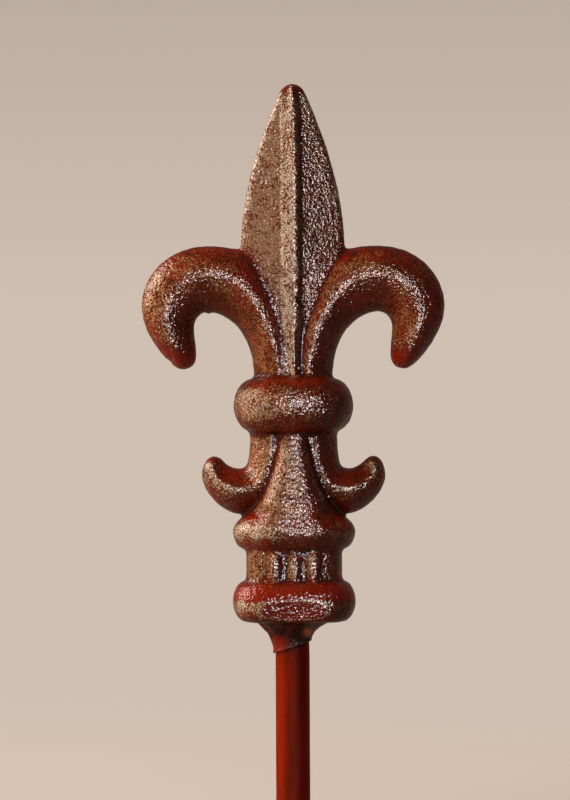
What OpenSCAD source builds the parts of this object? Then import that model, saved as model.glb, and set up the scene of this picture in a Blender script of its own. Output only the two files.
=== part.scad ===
// Fleur-de-lis finial: a sand-cast iron head with a round steel bar butt-welded under its base.
// The head is one casting with the same face in front and behind. From the foot up it has a
// pillow-shaped base with an oval facet, a frieze with three reeds, a belly that tapers into a
// bell, a pair of upturned ears, a collar, two scrolls that curl over and a ribbed spear blade.
// Heights in the casting are measured from its flat underside. Z is up, X runs across the
// scrolls, Y runs from front to back, and the origin is the centre of the bar's cut end.

/* [Bar] */
// Diameter of the round bar
bar_d = 9.6; // [8:0.1:12]
// Length of the bar below the casting
bar_len = 60; // [30:1:200]
// Taper that the bar's top is ground to for the weld, in mm of diameter per mm
bar_taper = 0.06; // [0.02:0.01:0.12]
// How far the casting's middle sits to the side of the bar's axis
cast_shift = 0.55; // [-1.5:0.05:1.5]

/* [Weld] */
// Reach of the weld bead over the casting's underside, from the bar's surface
weld_reach = 5.9; // [3:0.1:7]
// Length of the weld bead down the bar, on its long side
weld_leg = 9; // [6:0.5:14]
// How much shorter the bead is on its short side
weld_drop = 3.6; // [0:0.2:4.5]
// Thickness of the bead's lower lip
weld_lip = 0.6; // [0.3:0.05:0.9]

/* [Base and frieze] */
// Width of the casting's flat underside
foot_w = 25.4; // [23:0.2:30]
// Width of the base, the same in both directions
base_w = 34.4; // [32:0.2:37]
// Height of the base
base_h = 11.4; // [10:0.1:13]
// Height of the oval facet on the front and the back of the base
facet_h = 5; // [4:0.2:6]
// Width of the frieze
frieze_w = 26.8; // [25:0.2:29]
// Height of the frieze
frieze_h = 8.7; // [8:0.1:11]
// Diameter of each reed on the frieze
reed_d = 4.7; // [4:0.1:5.2]
// Distance between the reeds
reed_pitch = 5.2; // [4.8:0.1:6]
// How far each reed stands out of the frieze
reed_rise = 1.1; // [0.6:0.1:1.6]

/* [Belly and bell] */
// Width of the belly
belly_w = 34.4; // [32:0.2:37]
// Height of the belly's lower half
belly_h = 5.4; // [4.5:0.1:7]
// Height of the bell, from the belly's widest line to the collar
bell_h = 27.3; // [26:0.1:32]
// Width of the bell at its top
bell_top_w = 9.8; // [8:0.2:10.4]
// Depth of the bell at its top, front to back
bell_top_d = 23; // [21:0.5:25]

/* [Collar and neck] */
// Width of the collar
collar_w = 33.6; // [31:0.2:36]
// Height of the collar
collar_h = 15.2; // [13:0.2:18]
// Width of the neck above the collar, and of the waist below it
neck_w = 21.8; // [20:0.2:25]

/* [Ears] */
// Width over the two ears
ears_w = 51.4; // [49:0.2:56]
// Depth of an ear, front to back
ear_d = 17; // [14:0.5:20]

/* [Scrolls] */
// Width over the two scrolls
scroll_w = 85; // [82:0.5:95]
// Height of the scrolls' tops above the collar
scroll_rise = 37.1; // [34:0.1:40]
// Height of the arch under a scroll above the collar
arch_rise = 18.6; // [16:0.2:20]
// Height of a scroll's tip above the collar
tip_rise = 2.6; // [1:0.2:5]
// Distance between the middle of the casting and a scroll's tip
tip_x = 31.1; // [30:0.1:32.5]
// Depth of a scroll, front to back
scroll_d = 17; // [14:0.5:19]

/* [Blade] */
// Width of the spear blade
blade_w = 29.2; // [26:0.2:31]
// Length of the blade above its widest line
blade_l = 46; // [40:0.2:60]
// Thickness of the blade at its widest line, without the rib
blade_t = 12.5; // [10:0.5:14]
// Thickness of the blade's edges
edge_t = 4.4; // [3:0.2:6]
// Width of the rib down the middle of the blade
rib_w = 6; // [4:0.2:8]
// Height of the rib
rib_h = 1.8; // [1:0.1:2.4]

/* [Hidden] */

rust_red = [0.40, 0.13, 0.07];
bar_red = [0.42, 0.09, 0.04];
bead_red = [0.30, 0.07, 0.04];

// Heights in the casting
belly_z = base_h + frieze_h + belly_h;
collar_z = belly_z + bell_h;
neck_z = collar_z + collar_h;
scroll_top_z = neck_z + scroll_rise;
blade_z = scroll_top_z - 0.7;
tip_z = blade_z + blade_l;

square_pts = 40; // points round a moulding
leaf_quarter = 6; // points on a quarter of a leaf's section
seat = 2; // how far one form of the casting reaches into the next

function mix(a, b, t) = a + (b - a) * t;
function clamp(t) = min(1, max(0, t));

function bezier(p, t) =
    pow(1 - t, 3) * p[0] + 3 * t * pow(1 - t, 2) * p[1] + 3 * t * t * (1 - t) * p[2] + pow(t, 3) * p[3];

// A value along a list, from 0 at the first entry to 1 at the second and so on, eased between them
function along(values, s) =
    let (i = min(floor(s), len(values) - 2), t = s - i)
    mix(values[i], values[i + 1], t * t * (3 - 2 * t));

// A point of a curve that is a chain of Bezier arcs
function on_chain(chain, s) =
    let (i = min(floor(s), len(chain) - 1))
    bezier(chain[i], s - i);

// Closed skin over rings of points that run anticlockwise seen from the far end
module loft(rings) {
    n = len(rings[0]);
    last = len(rings) - 1;
    skin = [for (i = [0:last - 1], j = [0:n - 1])
        let (k = (j + 1) % n)
        [i * n + j, (i + 1) * n + j, (i + 1) * n + k, i * n + k]];
    near_end = [for (j = [0:n - 1]) j];
    far_end = [for (j = [0:n - 1]) last * n + n - 1 - j];
    polyhedron(points = [for (r = rings) each r], faces = concat([near_end, far_end], skin));
}

// Ring of a moulding that is square in plan with its corners cut off and softened. flat is the
// part of each face that the cut leaves, and crisp how sharp the edges between them are.
function square_ring(z, half_w, half_d, flat, crisp) =
    [for (i = [0:square_pts - 1])
        let (
            a = 360 * i / square_pts,
            c = abs(cos(a)),
            s = abs(sin(a)),
            r = pow((1 + pow(1 + flat, -crisp)) / (pow(c, crisp) + pow(s, crisp) + pow((c + s) / (1 + flat), crisp)),
                1 / crisp)
        )
        [half_w * r * cos(a), half_d * r * sin(a), z]];

// Base, frieze, belly and bell, as one column. Each section is a height, a half width, a half
// depth and the flat part of its faces.
core = frieze_w / 2;

base_sections = [for (i = [0:9])
    let (a = mix(-74, 90, i / 9), w = core + (base_w / 2 - core) * cos(a))
    [base_h / 2 * (1 + sin(a)), w, w, a < 80 ? 0.66 : 0.76]];

belly_sections = [for (a = [0:18:90])
    let (rise = belly_w / 2 - core)
    [belly_z - belly_h * cos(a), core + rise * sin(a), core + rise * pow(sin(a), 1.6), a == 0 ? 0.76 : 0.52]];

bell_sections = [
    [0.07, 0.93, 0.48],
    [0.13, 0.79, 0.46],
    [0.17, 0.64, 0.46],
    [0.22, 0.52, 0.55],
    [0.29, 0.41, 0.66],
    [0.4, 0.28, 0.66],
    [0.56, 0.155, 0.62],
    [0.76, 0.07, 0.58],
    [1.06, 0, 0.54],
];

module column() {
    foot = square_ring(0, foot_w / 2, foot_w / 2, 0.66, 9);
    lower = [for (p = concat(base_sections, belly_sections)) square_ring(p[0], p[1], p[2], p[3], 9)];
    bell = [for (p = bell_sections)
        square_ring(
            belly_z + p[0] * bell_h,
            mix(bell_top_w, belly_w, p[1]) / 2,
            mix(belly_w, bell_top_d, p[0]) / 2,
            p[2],
            12
        )];
    loft(concat([foot], lower, bell));
}

module collar() {
    core = neck_w / 2;
    loft([for (a = [-90:18:90])
        let (w = core + (collar_w / 2 - core) * cos(a))
        square_ring(collar_z + collar_h / 2 * (1 + sin(a)), w, w, 0.6, 6)]);
}

// Three reeds on each face of the frieze, with rounded ends
module reeds() {
    bottom = base_h + reed_d / 2 - 0.6;
    top = base_h + frieze_h - reed_d / 2;
    for (face = [-1, 1], i = [-1:1])
        translate([i * reed_pitch, face * (frieze_w / 2 + reed_rise - reed_d / 2), 0])
            hull() {
                translate([0, 0, bottom]) sphere(d = reed_d, $fn = 16);
                translate([0, 0, top]) sphere(d = reed_d, $fn = 16);
            }
}

// Flat oval facets low on the front and the back of the base, facing a little downwards
facet_low = 1.1;
facet_lean = 17;
facet_depth = 0.35;

module base_facets() {
    for (face = [0, 180])
        rotate([0, 0, face])
            translate([0, -base_w / 2, facet_low + facet_h])
                rotate([facet_lean, 0, 0])
                    translate([-base_w / 2, facet_depth - base_w, -2 * facet_h])
                        cube([base_w, base_w, 2 * facet_h]);
}

// A leaf that curls: rings between the points of its concave edge and of its convex edge, with
// steps of them on each arc. Where each arc starts, sections gives the leaf's half depth, the
// place of its crest (0 at the concave edge, 1 at the convex one) and the depth of the hollow
// beside the crest. Both edges end in the same tip.
bevel = 1.3; // how straight the slope on the crest's concave side is, 1 is straight

module leaf(concave, convex, sections, steps) {
    arcs = len(concave);
    start = concave[0][0];
    across = convex[0][0] - start;
    ahead = concave[0][1] - start;
    turn = sign(across[1] * ahead[0] - across[0] * ahead[1]);
    stops = [for (i = [0:arcs - 1], j = [0:steps[i] - 1])
        let (t = j / steps[i])
        i < arcs - 1 ? i + t : i + 1 - pow(1 - t, 1.4)];
    loft([for (s = concat(stops, [arcs - 0.02]))
        let (closing = 1 - pow(clamp(s - arcs + 1), 3), q = along(sections, s))
        leaf_ring(on_chain(concave, s), on_chain(convex, s), turn * closing, q)]);
}

function leaf_ring(a, b, scale, q) =
    [for (quarter = [0:3], i = [0:leaf_quarter - 1])
        let (
            odd = quarter % 2,
            reach = odd == 0 ? cos(90 * i / leaf_quarter) : sin(90 * i / leaf_quarter),
            inner = quarter == 0 || quarter == 3,
            u = q[1] + (inner ? -q[1] : 1 - q[1]) * reach,
            hollow = q[2] * pow(cos(90 * clamp(abs(u / q[1] - 0.62) / 0.34)), 2),
            rise = q[0] * pow(1 - pow(reach, inner ? bevel : 1.7), 0.5) - hollow
        )
        [mix(a[0], b[0], u), scale * (quarter < 2 ? rise : -rise), mix(a[1], b[1], u)]];

// Scroll on the right. The points of its edges are [x, z].
neck_edge = [neck_w / 2, neck_z - seat];
stem_edge = [-1.4, neck_z - seat];
arch_side = [16.2, neck_z + arch_rise - 3.6];
arch_top = [23.8, neck_z + arch_rise];
shoulder = [blade_w / 2 + 0.4, scroll_top_z - 1.3];
crest_top = [24, scroll_top_z];
hook_side = [27.7, neck_z + 14.2];
outermost = [scroll_w / 2, neck_z + 20];
scroll_tip = [tip_x, neck_z + tip_rise];

scroll_concave = [
    [neck_edge, neck_edge + [0, 8.4], arch_side - [3.6, 3.5], arch_side],
    [arch_side, arch_side + [2.2, 2.1], arch_top - [2.8, 0], arch_top],
    [arch_top, arch_top + [2.2, 0], hook_side + [0, 2.4], hook_side],
    [hook_side, hook_side - [0, 5], scroll_tip - [6, 0], scroll_tip],
];
scroll_convex = [
    [stem_edge, stem_edge + [0, 18], shoulder - [5.8, 2.8], shoulder],
    [shoulder, shoulder + [2.9, 0.9], crest_top - [4.4, 0], crest_top],
    [crest_top, crest_top + [10.2, 0], outermost + [0, 9.6], outermost],
    [outermost, outermost - [0, 7.2], scroll_tip + [3.4, 0], scroll_tip],
];

module scroll() {
    half_d = scroll_d / 2;
    sections = [
        [half_d + 0.6, 0.56, 0],
        [half_d, 0.54, 0],
        [half_d, 0.54, 0],
        [half_d - 0.8, 0.5, 0],
        [half_d - 2.2, 0.5, 0],
    ];
    leaf(scroll_concave, scroll_convex, sections, [6, 4, 8, 9]);
}

// Web that fills the corner between a scroll and the blade's edge
web_r = 2;

module web() {
    z = scroll_top_z - web_r - 1;
    hull() {
        translate([blade_w / 2 - 1.6, 0, z]) sphere(r = web_r, $fn = 16);
        translate([blade_w / 2 + 3.6, 0, z + 0.4]) sphere(r = web_r, $fn = 16);
    }
}

// Ear on the right, with its stem under the collar
waist_edge = [neck_w / 2 + 1.3, collar_z + seat];
groove_edge = [0, collar_z + seat];
notch = [15.4, collar_z - 10];
ear_bottom = [15.6, belly_z + 4.5];
ear_side = [ears_w / 2, collar_z - 12.2];
ear_tip = [ears_w / 2 - 3.4, collar_z - 6.6];
ear_crook = [18.8, collar_z - 8.8];

ear_concave = [
    [waist_edge, waist_edge - [0, 11], notch - [2.6, 0], notch],
    [notch, notch + [1.4, 0], ear_crook - [0.8, 0.6], ear_crook],
    [ear_crook, ear_crook + [1.2, 0.9], ear_tip - [1.8, 0], ear_tip],
];
ear_convex = [
    [groove_edge, groove_edge - [0, 19], ear_bottom - [8.6, 0.4], ear_bottom],
    [ear_bottom, ear_bottom + [5, 0.8], ear_side - [0.2, 4.2], ear_side],
    [ear_side, ear_side + [0, 2.8], ear_tip + [2.2, 0], ear_tip],
];

module ear() {
    half_d = ear_d / 2;
    sections = [
        [half_d + 1.2, 0.5, 0],
        [half_d, 0.42, 0.9],
        [half_d - 2, 0.5, 0.9],
        [half_d - 3.6, 0.5, 0],
    ];
    leaf(ear_concave, ear_convex, sections, [8, 8, 9]);
}

// Spear blade
stem_w = 5.2; // width of the blade where it runs into the neck
blunt_w = 4.8; // width of its blunt tip
blunt_t = 4.6; // thickness of its blunt tip
cap_h = 2; // height over which the tip is rounded off
blade_foot_z = neck_z - seat;

function blade_half_w(z) = z < blade_z
    ? mix(stem_w, blade_w, sin(90 * pow(clamp((z - neck_z) / (blade_z - neck_z)), 2.6))) / 2
    : mix(blade_w, blunt_w, pow((z - blade_z) / blade_l, 1.8)) / 2;

function blade_half_t(z) = z < blade_z
    ? mix(scroll_d - 0.4, blade_t, clamp((z - neck_z) / (blade_z - neck_z))) / 2
    : mix(blade_t, blunt_t, pow((z - blade_z) / blade_l, 1.3)) / 2;

// Half thickness of the blade's edges, which grow towards the neck until the scrolls hide them
function blade_edge(z) = mix(edge_t / 2, scroll_d / 2 - 1, clamp((blade_z - z) / 18));

// Quarter of the blade's section, from its edge to the middle of the rib
function blade_quarter(z, cap) =
    let (
        half_w = blade_half_w(z) * cap,
        half_t = blade_half_t(z) * cap,
        edge = min(blade_edge(z), 0.9 * half_t),
        rib = min(rib_w / 2, 0.5 * half_w) * mix(1, 0.6, clamp((z - blade_z) / blade_l)),
        rim = half_w - min(0.9, 0.2 * half_w)
    )
    concat(
        [[half_w, 0], [mix(rim, half_w, 0.7), 0.7 * edge]],
        [for (t = [0, 0.5, 1]) [mix(rim, rib, t), mix(edge, half_t, t)]],
        [for (t = [0.7, 0.35, 0]) [rib * t, half_t + rib_h * cap * (1 + cos(180 * t)) / 2]]
    );

function blade_ring(z, cap) =
    let (q = blade_quarter(z, cap), n = len(q))
    concat(
        [for (i = [0:n - 1]) [q[i][0], q[i][1], z]],
        [for (i = [n - 2:-1:0]) [-q[i][0], q[i][1], z]],
        [for (i = [1:n - 1]) [-q[i][0], -q[i][1], z]],
        [for (i = [n - 2:-1:1]) [q[i][0], -q[i][1], z]]
    );

module blade() {
    lower = [for (t = [0:1 / 14:0.999]) mix(blade_foot_z, blade_z, t)];
    upper = [for (t = [0:1 / 11:0.999]) mix(blade_z, tip_z - cap_h, t)];
    body = [for (z = concat(lower, upper)) blade_ring(z, 1)];
    cap = [for (a = [0, 30, 55, 78]) blade_ring(tip_z - cap_h * (1 - sin(a)), cos(a))];
    loft(concat(body, cap));
}

module finial_casting() {
    color(rust_red)
        translate([cast_shift, 0, bar_len])
            difference() {
                union() {
                    column();
                    reeds();
                    collar();
                    blade();
                    for (side = [0, 1]) mirror([side, 0, 0]) {
                        scroll();
                        web();
                        ear();
                    }
                }
                base_facets();
            }
}

// Round bar, parallel up to the weld and slightly tapered inside it
taper_len = weld_leg + 0.8;
parallel_len = bar_len - taper_len;

module bar() {
    color(bar_red)
        rotate_extrude($fn = 72)
            polygon([
                [0, 0],
                [bar_d / 2, 0],
                [bar_d / 2, parallel_len],
                [(bar_d - bar_taper * taper_len) / 2, bar_len],
                [0, bar_len]
            ]);
}

// Weld bead between the bar and the casting's underside: a hollow fillet, longer on one side
bead_pts = 36;
bead_steps = 9;

function bead_ring(t) =
    [for (i = [0:bead_pts - 1])
        let (
            a = 360 * i / bead_pts,
            leg = weld_leg - weld_drop * (1 + cos(a)) / 2,
            ripple = 1 + 0.05 * sin(5 * a + 40) + 0.03 * sin(8 * a),
            r = bar_d / 2 + weld_lip + (weld_reach - weld_lip) * pow(t, 2.4) * ripple
        )
        [r * cos(a), r * sin(a), -leg * (1 - t)]];

module weld_bead() {
    color(bead_red)
        translate([0, 0, bar_len])
            difference() {
                loft([for (i = [0:bead_steps]) bead_ring(i / bead_steps)]);
                translate([0, 0, -taper_len])
                    cylinder(h = taper_len + 1, d1 = bar_d, d2 = bar_d - bar_taper * (taper_len + 1), $fn = 72);
            }
}

finial_casting();
bar();
weld_bead();
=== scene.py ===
"""Dressing for a cast iron fleur-de-lis finial, painted red-brown under a bronze mist, on its round bar.

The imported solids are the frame. The cast head and the weld bead are fine skins grown from their own
solids, and the round bar is turned to the size of its solid, so each stays where the solid is.
Lengths are in metres, apart from those that a name or a note gives in mm.
"""

import math

import bmesh
import bpy
import numpy as np
from bpy.props import FloatProperty, FloatVectorProperty, PointerProperty
from mathutils import Matrix, Vector, noise


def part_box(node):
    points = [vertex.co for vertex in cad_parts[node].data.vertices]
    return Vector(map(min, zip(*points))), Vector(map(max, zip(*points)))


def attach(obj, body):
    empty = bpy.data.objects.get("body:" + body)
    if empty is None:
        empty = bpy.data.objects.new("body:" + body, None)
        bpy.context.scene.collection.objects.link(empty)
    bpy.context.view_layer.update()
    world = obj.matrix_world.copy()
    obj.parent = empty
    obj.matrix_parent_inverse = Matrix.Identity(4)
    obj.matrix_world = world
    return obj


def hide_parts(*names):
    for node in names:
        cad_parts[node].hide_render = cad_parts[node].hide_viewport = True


bl_info = {
    "name": "Fleur-de-lis Finial",
    "version": (1, 0, 0),
    "blender": (4, 5, 0),
    "location": "3D View > Sidebar > Finial",
    "description": "Dresses the cast head, the weld and the bar of a painted railing finial",
    "category": "Object",
}

MM = 0.001

# Directions on the head
FACET_TILT = math.radians(17)    # how far the base's front facet leans down
SPRAY_AND_LIGHT_LEFT = math.radians(40)    # the bronze mist lies denser on faces turned this far left of the front, partly as a spray from that side and partly as a painted lighter side towards the key lamp
BLADE_SLOPE = math.radians(27)   # slope of the blade's two faces away from its ridge

# Places on the head and the weld: mm across from the axis, mm up from the bar's cut end, mm of reach
RAGGED_CORNER = (13.5, 61, 5)
# Painted highlight: paler specks on the left shoulder of the belly.
BELLY_HIGHLIGHT = (-15, 87, 5)
NUB = (-23.1, 146, 1.3)
STEP = (-34, 133.1, 1.6)
CRACK = [(0.7 + i, 150.3 - 0.9 * i, 0.9) for i in (0, 0.7, 1.4, 2.1)]
RED_DRIP = (-3.8, 53.5, 3.6)
RUST_SPOT = (4.3, 57, 1.8)

# The blade and its rib
BLADE_START = 68                 # mm above the head's underside, as are the next two
BLADE_FOOT = 70
BLADE_NARROWEST = 74
BLADE_HALF = 3 * MM              # half width where the blade is narrowest
BLADE_RISE = 30.7 * MM           # height over which the half width grows by BLADE_GAIN
BLADE_GAIN = 11 * MM
BLADE_EDGE = 0.8 * MM            # how softly the blade's paint ends at its sides
RIB_HALF = 2.9 * MM

# The bump on the base that turns its reflection up a little
LEAN_SLOPE = -0.13
LEAN_START = 1 * MM
LEAN_REACH = 10 * MM

# The weld and the bar
WELD_CELL = 0.22 * MM
BAR_CHAMFER = 0.8 * MM
BAR_TAPER = 0.03                 # radius that the bar's top loses for each length of the taper
BAR_TAPER_LENGTH = 9.8 * MM
BAR_SIDES = 96
BAR_ROWS = 110

# The stage
MIDDLE = (0, 0, 0.13)            # the lamps point at this place on the head
FLOOR_RADIUS = 0.7
FLOOR_DROP = 0.2 * MM
CAMERA_LEFT = 1.82 * MM
CAMERA_ROLL = math.radians(-0.25)
SENSOR_HEIGHT = 24.0
BACKDROP_GLOW = 1.03

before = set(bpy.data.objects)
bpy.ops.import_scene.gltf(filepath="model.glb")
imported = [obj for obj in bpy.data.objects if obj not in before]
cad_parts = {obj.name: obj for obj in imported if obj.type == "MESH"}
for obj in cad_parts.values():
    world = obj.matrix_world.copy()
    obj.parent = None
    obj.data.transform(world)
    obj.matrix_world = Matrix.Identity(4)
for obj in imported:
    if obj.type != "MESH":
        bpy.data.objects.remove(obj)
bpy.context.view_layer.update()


# Sizes and colours that a user would change

def length(name, text, default, low, high):
    return FloatProperty(name=name, description=text, default=default * MM, min=low * MM, max=high * MM,
                         unit="LENGTH", subtype="DISTANCE", precision=5)


def share(name, text, default):
    return FloatProperty(name=name, description=text, default=default, min=0.0, max=1.0, subtype="FACTOR")


def power(name, text, default):
    return FloatProperty(name=name, description=text, default=default, unit="POWER")


def colour(name, text, default):
    return FloatVectorProperty(name=name, description=text, default=default, min=0.0, max=1.0, size=3,
                               subtype="COLOR")


class FinialSurface(bpy.types.PropertyGroup):
    """Sizes of the cast surface"""
    cell: length("Mesh cell", "Spacing of the head's mesh", 0.52, 0.4, 1.0)
    swell: length("Swell", "Height of the slow waves that sand casting leaves", 0.1, 0.0, 0.3)
    grain: length("Grain", "Height of the fine sand grain", 0.05, 0.0, 0.2)
    fillet: share("Fillet", "How far the inner corners are filled", 0.9)
    rib: length("Rib", "Height of the rib down the blade", 0.5, 0.0, 1.0)


class FinialPaint(bpy.types.PropertyGroup):
    """Colours and gloss of the paint"""
    enamel: colour("Enamel", "Red-brown gloss coat", (0.145, 0.012, 0.001))
    bright: colour("Bright enamel", "Where the coat lies thick", (0.24, 0.012, 0.0012))
    # Also the painted shade in the head's hollows and creases.
    thin_coat_and_shade: colour("Dark enamel", "Where the coat is thin over iron", (0.03, 0.006, 0.003))
    bronze: colour("Bronze mist", "Speckles of the second coat", (0.265, 0.135, 0.062))
    gold: colour("Gold mist", "Warmer speckles of the second coat", (0.34, 0.135, 0.028))
    silver: colour("Silver mist", "Palest speckles of the second coat", (0.6, 0.48, 0.37))
    rust: colour("Rust", "Spot of rust on the weld", (0.6, 0.19, 0.04))
    gloss: share("Enamel roughness", "Roughness of the gloss coat", 0.09)
    dust: share("Mist roughness", "Roughness of the speckles", 0.22)


class FinialStage(bpy.types.PropertyGroup):
    """Floor, camera and light"""
    floor: colour("Floor", "Colour of the floor and backdrop", (0.61, 0.51, 0.43))
    bounce: colour("Floor bounce", "Colour that the floor throws back on the object", (0.16, 0.13, 0.11))
    distance: length("Camera distance", "From the camera to the bar's axis", 1200, 600, 3000)
    height: length("Camera height", "Height of the camera above the bar's cut end", 121.9, 0, 400)
    view: length("View height", "Height of the view at the object", 224, 100, 1000)
    key: power("Key", "Power of the warm lamp on the left", 56.0)
    window: power("Window", "Power of the cool lamp in front", 23.0)
    rear: power("Rear", "Power of the warm lamp behind", 14.0)
    fill: power("Fill", "Power of the lamp behind on the right", 14.0)
    sky: FloatProperty(name="Sky", description="Strength of the even light all round", default=0.06)


# Meshes

def smooth_step(low, high, value):
    t = np.clip((value - low) / (high - low), 0, 1)
    return t * t * (3 - 2 * t)


def waves(points, size, offset=0.0):
    """Perlin noise over the points, about -1 to 1, with cells of the given size."""
    return np.array([noise.noise(Vector(p)) for p in (points / size + offset)])


def dab(points, spot):
    """1 at a spot that is given in mm across, mm up and mm of reach, down to 0 at its reach."""
    x, z, reach = spot
    away = np.hypot(points[:, 0] - x * MM, points[:, 2] - z * MM)
    return smooth_step(reach * MM, 0.3 * reach * MM, away)


def rib_profile(x, half, height):
    """Rounds the ridge of the blade off and lays a rib with steep flanks on it."""
    top = 0.72 * half
    rounded = math.tan(BLADE_SLOPE) * np.where(x < top, x - x ** 2 / (2 * top) - top / 2, 0)
    return rounded + height * smooth_step(half, top, x)


class Skin:
    """An even mesh grown from a solid, as arrays that can be relaxed and lifted."""

    def __init__(self, node, cell):
        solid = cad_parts[node].data.copy()
        bm = bmesh.new()
        bm.from_mesh(solid)
        bmesh.ops.remove_doubles(bm, verts=bm.verts, dist=0.002 * MM)
        bm.to_mesh(solid)
        bm.free()
        carrier = bpy.data.objects.new("resample", solid)
        bpy.context.scene.collection.objects.link(carrier)
        even = carrier.modifiers.new("Even cells", "REMESH")
        even.mode = "VOXEL"
        even.voxel_size = cell
        graph = bpy.context.evaluated_depsgraph_get()
        self.mesh = bpy.data.meshes.new_from_object(carrier.evaluated_get(graph))
        bpy.data.objects.remove(carrier)
        bpy.data.meshes.remove(solid)
        self.mesh.materials.clear()
        count = len(self.mesh.vertices)
        flat = np.empty(count * 3, np.float32)
        self.mesh.vertices.foreach_get("co", flat)
        self.points = flat.reshape(-1, 3).astype(float)
        pairs = np.empty(len(self.mesh.edges) * 2, np.int32)
        self.mesh.edges.foreach_get("vertices", pairs)
        pairs = pairs.reshape(-1, 2)
        self.here = np.concatenate([pairs[:, 0], pairs[:, 1]])
        self.there = np.concatenate([pairs[:, 1], pairs[:, 0]])
        self.degree = np.bincount(self.here, minlength=count)
        corners = np.empty(len(self.mesh.loops), np.int32)
        self.mesh.loops.foreach_get("vertex_index", corners)
        self.quads = corners.reshape(-1, 4)

    def mean(self, field):
        """Each point's mean over its neighbours."""
        flat = field.reshape(len(self.points), -1)
        total = [np.bincount(self.here, column[self.there], len(self.points)) for column in flat.T]
        return (np.stack(total, 1) / self.degree[:, None]).reshape(field.shape)

    def relaxed(self, field, turns, weight=0.5):
        for _ in range(turns):
            field = field + weight * (self.mean(field) - field)
        return field

    def iron(self, turns):
        """Irons out the solid's facets and keeps its volume."""
        for _ in range(turns):
            for weight in (0.5, -0.53):
                self.points = self.relaxed(self.points, 1, weight)

    def normals(self):
        p = self.points[self.quads]
        face = np.cross(p[:, 2] - p[:, 0], p[:, 3] - p[:, 1])
        total = np.stack([np.bincount(self.quads.ravel(), np.repeat(face[:, i], 4), len(self.points))
                          for i in range(3)], 1)
        return total / np.maximum(np.linalg.norm(total, axis=1), 1e-20)[:, None]

    def bulge(self, turns):
        """How far each point stands out of the surface round it."""
        return ((self.points - self.relaxed(self.points, turns)) * self.normals()).sum(1)

    def lift(self, height):
        self.points += self.normals() * np.asarray(height)[:, None]

    def fill_corners(self, amount, turns, rounds):
        """Softens the inner corners, as paint and sand do, and leaves the rest."""
        for _ in range(rounds):
            inner = self.relaxed(smooth_step(0.01 * MM, 0.12 * MM, -self.bulge(turns)), 3)
            self.points += (amount * inner)[:, None] * (self.relaxed(self.points, turns) - self.points)

    def finish(self, name, node, slot, fields):
        """Keeps the skin inside its solid's box, and stores the fields that the paint reads."""
        low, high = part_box(node)
        self.points = np.clip(self.points, np.array(low), np.array(high))
        self.mesh.vertices.foreach_set("co", self.points.astype(np.float32).ravel())
        for key, field in fields.items():
            layer = self.mesh.attributes.new(key, "FLOAT", "POINT")
            layer.data.foreach_set("value", field.astype(np.float32))
        return place(name, node, self.mesh)


def place(name, node, mesh):
    """Puts a finished mesh into the scene in place of a solid."""
    mesh.update()
    mesh.validate()
    mesh.shade_smooth()
    piece = bpy.data.objects.new(name, mesh)
    bpy.context.scene.collection.objects.link(piece)
    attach(piece, "root")
    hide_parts(node)
    return piece


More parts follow.
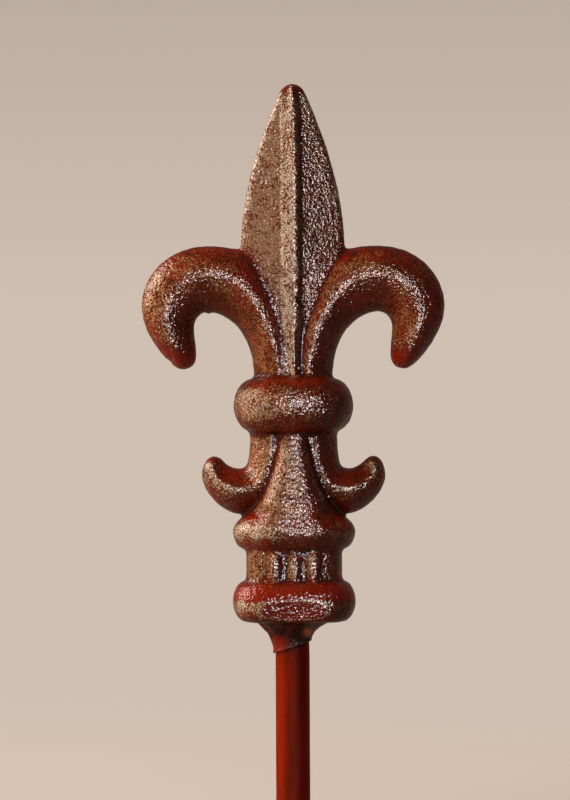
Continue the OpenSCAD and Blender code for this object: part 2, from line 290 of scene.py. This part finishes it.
class Head:
    """The cast head's skin, with the zones in which its casting and its paint differ."""

    def __init__(self, sizes):
        self.sizes = sizes
        self.skin = Skin("finial_casting", sizes.cell)
        self.skin.iron(14)
        self.skin.fill_corners(sizes.fillet, 6, 4)
        self.skin.iron(4)
        self.low, self.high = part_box("finial_casting")
        self.points = self.skin.points
        self.x, self.z = np.abs(self.points[:, 0]), self.points[:, 2]
        rise = np.maximum(self.z - self.low.z - BLADE_NARROWEST * MM, 0) / BLADE_RISE
        half = BLADE_HALF + BLADE_GAIN * rise ** 2
        started = self.z > self.low.z + BLADE_START * MM
        self.blade = smooth_step(-BLADE_EDGE, BLADE_EDGE, half - self.x) * started

    def across(self, start, end):
        """0 to 1 while the distance from the middle goes from start to end, in mm."""
        return smooth_step(start * MM, end * MM, self.x)

    def over(self, start, end):
        """0 to 1 while the height above the head's underside goes from start to end, in mm."""
        return smooth_step(self.low.z + start * MM, self.low.z + end * MM, self.z)

    def below_tip(self, start, end, drift=0.0):
        """0 to 1 while the depth below the blade's tip goes from start to end, in mm."""
        return smooth_step(self.high.z - start * MM, self.high.z - end * MM, self.z + drift)

    def paint_fields(self):
        """How the two coats lie, from 0 to 1 at each point, with painted shade in the hollows and creases and
        painted highlights where the light falls, and the lean of the base's bump.
        """
        skin = self.skin
        bulge = skin.relaxed(skin.bulge(60), 4)
        # Hollows of the head, which the paint shades darker (painted shade) and where fewer specks lie.
        hollow = smooth_step(0.05 * MM, 0.45 * MM, -bulge)
        crest = smooth_step(0.05 * MM, 0.6 * MM, bulge)
        facing = skin.relaxed(skin.normals(), 6)
        drift = 0.12 * waves(self.points, 7 * MM)
        up = smooth_step(0.4, 0.85, facing[:, 2] + drift)
        down = smooth_step(0.15, 0.6, -facing[:, 2] + drift)
        # Denser specks on faces turned to the left: partly spray, partly a painted lighter side towards the
        # key lamp.
        towards = np.abs(facing[:, 1]) * math.cos(SPRAY_AND_LIGHT_LEFT) - facing[:, 0] * math.sin(SPRAY_AND_LIGHT_LEFT)
        spray_and_light = smooth_step(0.35, 0.92, towards + drift)

        scroll = self.across(14, 20) * self.over(80, 90)
        curl = self.across(24, 27) * self.over(79, 73)
        cap = self.below_tip(4, 2, 6 * MM * drift)
        facet = np.array((0, math.cos(FACET_TILT), -math.sin(FACET_TILT)))
        square = np.abs(facing[:, 1]) * facet[1] + facing[:, 2] * facet[2]
        inside = smooth_step(0.93, 0.985, square) * self.over(9, 7)
        rim = np.clip(6 * inside * (1 - inside), 0, 1)
        above = self.over(5.5, 7) * self.over(11, 9.5)
        # Painted shade: narrow creases, which the paint darkens and keeps free of specks, with the crack on
        # the front darkened the same way.
        crease_shade_and_crack = skin.relaxed(smooth_step(0.01 * MM, 0.05 * MM, -skin.bulge(3)), 1)
        crack = np.maximum.reduce([dab(self.points, spot) for spot in CRACK])
        crease_shade_and_crack = np.maximum(crease_shade_and_crack, crack * (self.points[:, 1] < 0))
        # The ragged corner at the base is taken in with the hollows, so it gets the painted shade too.
        hollow = np.maximum(hollow, 0.9 * dab(self.points, RAGGED_CORNER))

        blade = self.blade
        on_blade = self.z > self.low.z + BLADE_FOOT * MM
        warm = np.where(on_blade, 1 - blade, 0.5)
        # Partly painted highlight: paler, denser specks on the rib's crest and left flank, which face the key
        # lamp, and none on its right flank.
        rib = self.across(3.1, 2.5) * blade * smooth_step(0.5, 0.15, facing[:, 0])
        # Painted highlight: the blade's faces turned to the left, towards the key lamp, get denser, paler
        # specks.
        edge = smooth_step(0.5, 0.9, -facing[:, 0]) * blade
        # Crests get paler specks: partly wear on crests and the lens rim, partly painted highlight on the
        # rib, the blade's lit edge and the belly's shoulder.
        crest = np.maximum.reduce([crest, rib, 0.5 * rim, edge, dab(self.points, BELLY_HIGHLIGHT)])
        density = np.where(on_blade, 0.68 + 0.32 * blade, 0.85)
        mist = density * np.maximum(0.4 + 0.6 * spray_and_light, 0.7 * blade)
        mist = mist * (1 - (0.9 - 0.5 * scroll) * up) * (1 - 0.5 * down)
        mist = mist * (1 - 0.8 * hollow) * (1 - crease_shade_and_crack) + 0.15 * crest + 0.55 * np.maximum(rib, edge)
        mist = mist * (1 - 0.9 * curl) * (1 - 0.7 * cap) * (1 - 0.7 * inside) * (1 - 0.85 * above) + rim
        thick = np.clip(curl + above + 0.6 * inside + 0.6 * up * hollow, 0, 1)
        lean = LEAN_SLOPE * np.clip(self.z - self.low.z - LEAN_START, 0, LEAN_REACH)
        return {"mist": np.clip(mist, 0, 1), "hollow": hollow, "crest": crest, "thick": thick,
                "warm": np.clip(warm, 0, 1), "crease_shade_and_crack": crease_shade_and_crack, "lean": lean}

    def relief(self):
        """Height of the casting's waves and grain, the rib, and the two flaws on the left scroll."""
        sizes = self.sizes
        swell = sizes.swell * waves(self.points, 3.4 * MM, 11.3)
        grain = sizes.grain * waves(self.points, 1.3 * MM, 5.7)
        rib = self.blade * self.below_tip(1, 10) * rib_profile(self.x, RIB_HALF, sizes.rib)
        return swell + grain + rib + 0.5 * MM * dab(self.points, NUB) - 0.3 * MM * dab(self.points, STEP)


def turned_bar(low, high):
    """The round bar: a chamfered cut end, hand-rolled waves along it and a ground taper at the top."""
    tall = high.z - low.z
    radius = (high.x - low.x) / 2
    heights = np.concatenate([[0, 0.1 * MM], np.linspace(0.2 * MM, BAR_CHAMFER, 4),
                              np.linspace(BAR_CHAMFER * 1.2, tall, BAR_ROWS)])
    angle = np.linspace(0, 2 * math.pi, BAR_SIDES, endpoint=False)
    bm = bmesh.new()
    rings = []
    for z in heights:
        edge = radius - max(0.0, BAR_CHAMFER - z) - BAR_TAPER * max(0.0, z - tall + BAR_TAPER_LENGTH)
        ring = np.stack([edge * np.cos(angle), edge * np.sin(angle), np.full(BAR_SIDES, z)], 1)
        dip = 0.05 * MM * (1 + waves(ring * (1, 1, 0.25), 4 * MM)) / 2
        ring[:, :2] *= (1 - dip / radius)[:, None]
        rings.append([bm.verts.new(Vector(p) + Vector((0, 0, low.z))) for p in ring])
    for a, b in zip(rings, rings[1:]):
        for i in range(BAR_SIDES):
            k = (i + 1) % BAR_SIDES
            bm.faces.new((a[i], a[k], b[k], b[i]))
    bm.faces.new(rings[0][::-1])
    bm.faces.new(rings[-1])
    ends = [face for face in bm.faces if len(face.verts) > 4]
    bmesh.ops.poke(bm, faces=ends)
    mesh = bpy.data.meshes.new("round_bar")
    bm.to_mesh(mesh)
    bm.free()
    return mesh


# Materials

class Nodes:
    """A node tree, written as short calls."""

    def __init__(self, tree):
        self.tree = tree

    def node(self, kind, inputs=None, **settings):
        made = self.tree.nodes.new(kind)
        for key, value in settings.items():
            setattr(made, key, value)
        for key, value in (inputs or {}).items():
            self.set(made.inputs[key], value)
        return made

    def set(self, socket, value):
        if isinstance(value, bpy.types.NodeSocket):
            self.tree.links.new(value, socket)
        elif socket.type == "RGBA":
            socket.default_value = (*value, 1.0)
        else:
            socket.default_value = value

    def ramp(self, value, low, high, start=0.0, end=1.0, easing="SMOOTHSTEP"):
        """Goes from start to end while the value goes from low to high."""
        return self.node("ShaderNodeMapRange", {"Value": value, "From Min": low, "From Max": high,
                                                "To Min": start, "To Max": end},
                         interpolation_type=easing).outputs["Result"]

    def maths(self, operation, a, b):
        return self.node("ShaderNodeMath", {0: a, 1: b}, operation=operation).outputs[0]

    def seen(self, mirrored_share):
        """1 to the camera, and the given share in mirror images and through glass."""
        light = self.node("ShaderNodeLightPath").outputs
        mirrored = self.maths("MAXIMUM", light["Is Glossy Ray"], light["Is Transmission Ray"])
        return self.maths("MAXIMUM", light["Is Camera Ray"], self.maths("MULTIPLY", mirrored, mirrored_share))


class Paint(Nodes):
    """A material, as the node tree that feeds its shader."""

    def __init__(self, name):
        self.material = bpy.data.materials.new(name)
        self.material.use_nodes = True
        super().__init__(self.material.node_tree)
        self.shader = self.tree.nodes["Principled BSDF"]
        self.place = self.node("ShaderNodeTexCoord").outputs["Object"]

    def field(self, name):
        return self.node("ShaderNodeAttribute", attribute_name=name).outputs["Fac"]

    def clouds(self, size, detail=2.0, rough=0.5, stretch=(1, 1, 1)):
        """Noise from 0 to 1 with cells of the given size."""
        scaled = self.node("ShaderNodeVectorMath", {0: self.place, 1: Vector(stretch) / size},
                           operation="MULTIPLY").outputs[0]
        return self.node("ShaderNodeTexNoise", {"Vector": scaled, "Scale": 1.0, "Detail": detail,
                                                "Roughness": rough}).outputs["Fac"]

    def blend(self, amount, a, b):
        made = self.node("ShaderNodeMix", data_type="RGBA")
        self.set(made.inputs["Factor"], amount)
        colours = [s for s in made.inputs if s.type == "RGBA"]
        self.set(colours[0], a)
        self.set(colours[1], b)
        return [s for s in made.outputs if s.type == "RGBA"][0]

    def bump(self, height, depth, below=None):
        inputs = {"Height": height, "Distance": depth, "Strength": 1.0}
        if below is not None:
            inputs["Normal"] = below
        return self.node("ShaderNodeBump", inputs).outputs["Normal"]

    def wear(self, **sockets):
        for key, value in sockets.items():
            self.set(self.shader.inputs[key.replace("_", " ")], value)
        return self.material


def enamel_colour(paint, scheme, dark_share):
    """Red-brown enamel that is brighter where it lies thick and darker where it is thin."""
    slow = paint.clouds(9 * MM, 2.0, 0.55)
    quick = paint.clouds(1.3 * MM, 3.0, 0.6)
    body = paint.blend(paint.ramp(slow, 0.42, 0.66), scheme.enamel, scheme.bright)
    thin = paint.maths("MULTIPLY", paint.ramp(quick, 0.5, 0.68), dark_share)
    return paint.blend(thin, body, scheme.thin_coat_and_shade)


def cast_enamel(scheme):
    """Gloss enamel under a mist of bronze and silver specks, over the grain of the casting, with painted
    shade in its hollows and creases and paler specks as painted highlights on crests and on the lit side.
    """
    paint = Paint("Misted enamel on cast iron")
    mist = paint.field("mist")
    base = enamel_colour(paint, scheme, 0.9)
    # Painted shade: the enamel turns darker in the hollows.
    base = paint.blend(paint.ramp(paint.field("hollow"), 0.15, 0.9, 0.0, 0.45), base, scheme.thin_coat_and_shade)
    base = paint.blend(paint.field("thick"), base, scheme.bright)
    # Painted shade along the narrow creases, and the dark line of the crack.
    base = paint.blend(paint.maths("MULTIPLY", paint.field("crease_shade_and_crack"), 0.6), base, scheme.thin_coat_and_shade)
    base = paint.blend(paint.maths("MULTIPLY", mist, 0.45), base, scheme.thin_coat_and_shade)

    fine = paint.clouds(0.5 * MM, 2.0, 0.6)
    patch = paint.ramp(paint.clouds(3.2 * MM, 3.0, 0.6), 0.3, 0.7, -0.06, 0.06)
    cover = paint.maths("ADD", paint.maths("MULTIPLY", mist, 0.28), patch)
    reach = paint.maths("ADD", fine, cover)
    speck = paint.ramp(reach, 0.64, 0.8)
    # Paler silver specks: wear on crests, and painted highlight where the light falls.
    wear_and_sheen = paint.ramp(paint.field("crest"), 0.0, 0.6, 0.12, 0.95)
    pale = paint.maths("MULTIPLY", paint.ramp(reach, 0.72, 0.9), wear_and_sheen)
    drift = paint.ramp(paint.clouds(6 * MM, 2.0, 0.5), 0.35, 0.65, -0.3, 0.3)
    golden = paint.maths("ADD", drift, paint.maths("MULTIPLY", paint.field("warm"), 0.9))
    metal = paint.blend(pale, paint.blend(golden, scheme.bronze, scheme.gold), scheme.silver)
    finish = paint.blend(paint.maths("MULTIPLY", speck, 0.9), base, metal)

    grain = paint.clouds(0.8 * MM, 1.5, 0.5)
    normal = paint.bump(grain, 0.42 * MM, paint.bump(paint.field("lean"), 1.0))
    return paint.wear(Base_Color=finish, Roughness=paint.ramp(speck, 0.0, 1.0, scheme.gloss, scheme.dust),
                      Metallic=paint.maths("MULTIPLY", speck, 0.12), Specular_IOR_Level=0.5, Normal=normal)


def bar_enamel(scheme):
    """Smoother enamel on the bar, streaked along it."""
    paint = Paint("Streaked enamel on the bar")
    streak = paint.clouds(2.4 * MM, 3.0, 0.6, (1, 1, 0.09))
    grain = paint.clouds(0.7 * MM, 3.0, 0.6)
    body = paint.blend(paint.ramp(streak, 0.36, 0.64), scheme.enamel, scheme.bright)
    body = paint.blend(paint.ramp(grain, 0.56, 0.72, 0.0, 0.5), body, scheme.thin_coat_and_shade)
    height = paint.maths("ADD", paint.maths("MULTIPLY", grain, 0.4), streak)
    return paint.wear(Base_Color=body, Roughness=paint.ramp(streak, 0.3, 0.7, 0.45, 0.55),
                      Specular_IOR_Level=0.02, Normal=paint.bump(height, 0.08 * MM))


def weld_enamel(scheme):
    """Dark enamel over the ripples of the weld."""
    paint = Paint("Dark enamel on the weld")
    slow = paint.clouds(3.5 * MM, 2.0, 0.5)
    grain = paint.clouds(0.8 * MM, 3.0, 0.6)
    body = paint.blend(paint.ramp(slow, 0.4, 0.62), scheme.thin_coat_and_shade, scheme.enamel)
    body = paint.blend(paint.field("thick"), body, scheme.bright)
    body = paint.blend(paint.field("rust"), body, scheme.rust)
    return paint.wear(Base_Color=body, Roughness=paint.ramp(grain, 0.3, 0.7, 0.22, 0.4),
                      Specular_IOR_Level=0.3, Normal=paint.bump(grain, 0.15 * MM))


def floor_paint(scheme):
    """Plain matt floor. It looks evenly lit and keeps the shadow, and fades into the backdrop at its rim."""
    paint = Paint("Floor")
    away = paint.node("ShaderNodeVectorMath", {0: paint.place}, operation="LENGTH").outputs["Value"]
    seen = paint.seen(paint.ramp(away, FLOOR_RADIUS * 0.5, FLOOR_RADIUS, 0.0, 0.15))
    paint.wear(Base_Color=paint.blend(seen, scheme.bounce, scheme.floor), Roughness=0.9,
               Specular_IOR_Level=0.1)
    glow = paint.node("ShaderNodeEmission", {"Color": scheme.floor, "Strength": BACKDROP_GLOW}).outputs[0]
    even = paint.maths("MULTIPLY", seen, paint.ramp(away, 0.1, FLOOR_RADIUS * 0.96, 0.5, 1.0))
    mixed = paint.node("ShaderNodeMixShader", {0: even, 1: paint.shader.outputs[0], 2: glow}).outputs[0]
    paint.set(paint.tree.nodes["Material Output"].inputs["Surface"], mixed)
    return paint.material


def room(scheme):
    """A world of even light. The camera, and mirror images of what is behind, see the backdrop instead."""
    world = bpy.data.worlds.new("Room")
    world.use_nodes = True
    nodes = Nodes(world.node_tree)
    even = nodes.tree.nodes["Background"]
    nodes.set(even.inputs["Color"], (1.0, 0.94, 0.88))
    nodes.set(even.inputs["Strength"], scheme.sky)
    direction = nodes.node("ShaderNodeTexCoord").outputs["Generated"]
    towards = nodes.node("ShaderNodeSeparateXYZ", {0: direction}).outputs
    shade = nodes.ramp(towards["Z"], 0.02, 0.1, BACKDROP_GLOW, 0.8, "LINEAR")
    behind = nodes.ramp(towards["Y"], 0.85, 1.0, 0.0, 0.15, "LINEAR")
    backdrop = nodes.node("ShaderNodeBackground", {"Color": scheme.floor, "Strength": shade})
    mixed = nodes.node("ShaderNodeMixShader", {0: nodes.seen(behind), 1: even.outputs[0],
                                               2: backdrop.outputs[0]})
    nodes.set(nodes.tree.nodes["World Output"].inputs["Surface"], mixed.outputs[0])
    return world


# Lamps

def around(distance, left, up):
    """A place at a distance from the head, so many degrees round to the left of the front and up."""
    left, up = math.radians(left), math.radians(up)
    return (-distance * math.sin(left) * math.cos(up), -distance * math.cos(left) * math.cos(up),
            MIDDLE[2] + distance * math.sin(up))


def lamp(name, location, size, energy, tint):
    """A rectangular lamp that points at the head."""
    data = bpy.data.lights.new(name, "AREA")
    data.shape = "RECTANGLE"
    data.size, data.size_y = size
    data.energy = energy
    data.color = tint
    made = bpy.data.objects.new(name, data)
    made.location = location
    made.rotation_euler = (Vector(MIDDLE) - made.location).to_track_quat("-Z", "Y").to_euler()
    bpy.context.scene.collection.objects.link(made)
    return made


# Operators

class FinialMakeHead(bpy.types.Operator):
    """Grow the cast head's skin from its solid and paint it"""
    bl_idname = "finial.make_head"
    bl_label = "Cast head"

    def execute(self, context):
        head = Head(context.scene.finial_surface)
        fields = head.paint_fields()
        head.skin.lift(head.relief())
        piece = head.skin.finish("cast_head", "finial_casting", "cast_paint", fields)
        piece.data.materials.append(cast_enamel(context.scene.finial_paint))
        return {"FINISHED"}


class FinialMakeWeld(bpy.types.Operator):
    """Grow the weld bead's skin from its solid and paint it"""
    bl_idname = "finial.make_weld"
    bl_label = "Weld bead"

    def execute(self, context):
        skin = Skin("weld_bead", WELD_CELL)
        skin.iron(8)
        skin.lift(0.16 * MM * waves(skin.points, 1.8 * MM, 3.1)
                  + 0.1 * MM * waves(skin.points, 0.8 * MM, 8.2))
        front = skin.points[:, 1] < 0
        piece = skin.finish("weld_skin", "weld_bead", "weld_paint",
                            {"thick": dab(skin.points, RED_DRIP),
                             "rust": dab(skin.points, RUST_SPOT) * front})
        piece.data.materials.append(weld_enamel(context.scene.finial_paint))
        return {"FINISHED"}


class FinialMakeBar(bpy.types.Operator):
    """Turn the round bar with its cut end and paint it"""
    bl_idname = "finial.make_bar"
    bl_label = "Round bar"

    def execute(self, context):
        piece = place("round_bar", "bar", turned_bar(*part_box("bar")))
        piece.data.materials.append(bar_enamel(context.scene.finial_paint))
        return {"FINISHED"}


class FinialMakeStage(bpy.types.Operator):
    """Lay the floor and backdrop, and set the lamps, the sky and the camera"""
    bl_idname = "finial.make_stage"
    bl_label = "Stage"

    def execute(self, context):
        scene = context.scene
        stage = scene.finial_stage
        self.lay_floor(scene, stage)
        self.hang_lamps(stage)
        scene.world = room(stage)
        self.set_camera(scene, stage)
        scene.view_settings.view_transform = "Standard"
        return {"FINISHED"}

    def lay_floor(self, scene, stage):
        bm = bmesh.new()
        bmesh.ops.create_circle(bm, cap_ends=True, radius=FLOOR_RADIUS, segments=96)
        mesh = bpy.data.meshes.new("floor")
        bm.to_mesh(mesh)
        bm.free()
        floor = bpy.data.objects.new("floor", mesh)
        floor.location = (0, 0, -FLOOR_DROP)
        scene.collection.objects.link(floor)
        floor.data.materials.append(floor_paint(stage))

    def hang_lamps(self, stage):
        """The window gives the glints alone. The key and the fill give the light and no glints."""
        key = lamp("key_lamp", around(1.5, 70, 22), (2.2, 2.2), stage.key, (1.0, 0.92, 0.82))
        key.visible_glossy = False
        window = lamp("window_lamp", around(1.3, -10, 6), (0.62, 0.36), stage.window, (0.96, 0.91, 0.96))
        window.visible_diffuse = False
        lamp("rear_lamp", around(1.5, 112, 30), (0.7, 0.7), stage.rear, (1.0, 0.9, 0.8))
        fill = lamp("fill_lamp", around(1.5, -135, 20), (1.4, 1.4), stage.fill, (1.0, 0.95, 0.9))
        fill.visible_glossy = False

    def set_camera(self, scene, stage):
        data = bpy.data.cameras.new("camera")
        data.sensor_fit = "VERTICAL"
        data.sensor_height = SENSOR_HEIGHT
        data.lens = data.sensor_height * stage.distance / stage.view
        data.clip_start = 0.01
        camera = bpy.data.objects.new("camera", data)
        camera.matrix_world = (Matrix.Translation((-CAMERA_LEFT, -stage.distance, stage.height))
                               @ Matrix.Rotation(math.pi / 2, 4, "X") @ Matrix.Rotation(CAMERA_ROLL, 4, "Z"))
        scene.collection.objects.link(camera)
        scene.camera = camera


class FinialPanel(bpy.types.Panel):
    """Lists the finial's pieces and their values"""
    bl_idname = "VIEW3D_PT_finial"
    bl_label = "Fleur-de-lis finial"
    bl_space_type = "VIEW_3D"
    bl_region_type = "UI"
    bl_category = "Finial"

    def draw(self, context):
        for group in GROUPS:
            column = self.layout.column()
            values = getattr(context.scene, group)
            for key in values.bl_rna.properties.keys():
                if key not in ("rna_type", "name"):
                    column.prop(values, key)
        for step in STEPS:
            self.layout.operator(step.bl_idname)


GROUPS = {"finial_surface": FinialSurface, "finial_paint": FinialPaint, "finial_stage": FinialStage}
STEPS = (FinialMakeHead, FinialMakeWeld, FinialMakeBar, FinialMakeStage)


def register():
    for made in (*GROUPS.values(), *STEPS, FinialPanel):
        bpy.utils.register_class(made)
    for name, group in GROUPS.items():
        setattr(bpy.types.Scene, name, PointerProperty(type=group))


def unregister():
    for name in GROUPS:
        delattr(bpy.types.Scene, name)
    for made in (FinialPanel, *STEPS, *GROUPS.values()):
        bpy.utils.unregister_class(made)


def main():
    register()
    bpy.ops.finial.make_head()
    bpy.ops.finial.make_weld()
    bpy.ops.finial.make_bar()
    bpy.ops.finial.make_stage()


if __name__ == "__main__":
    main()
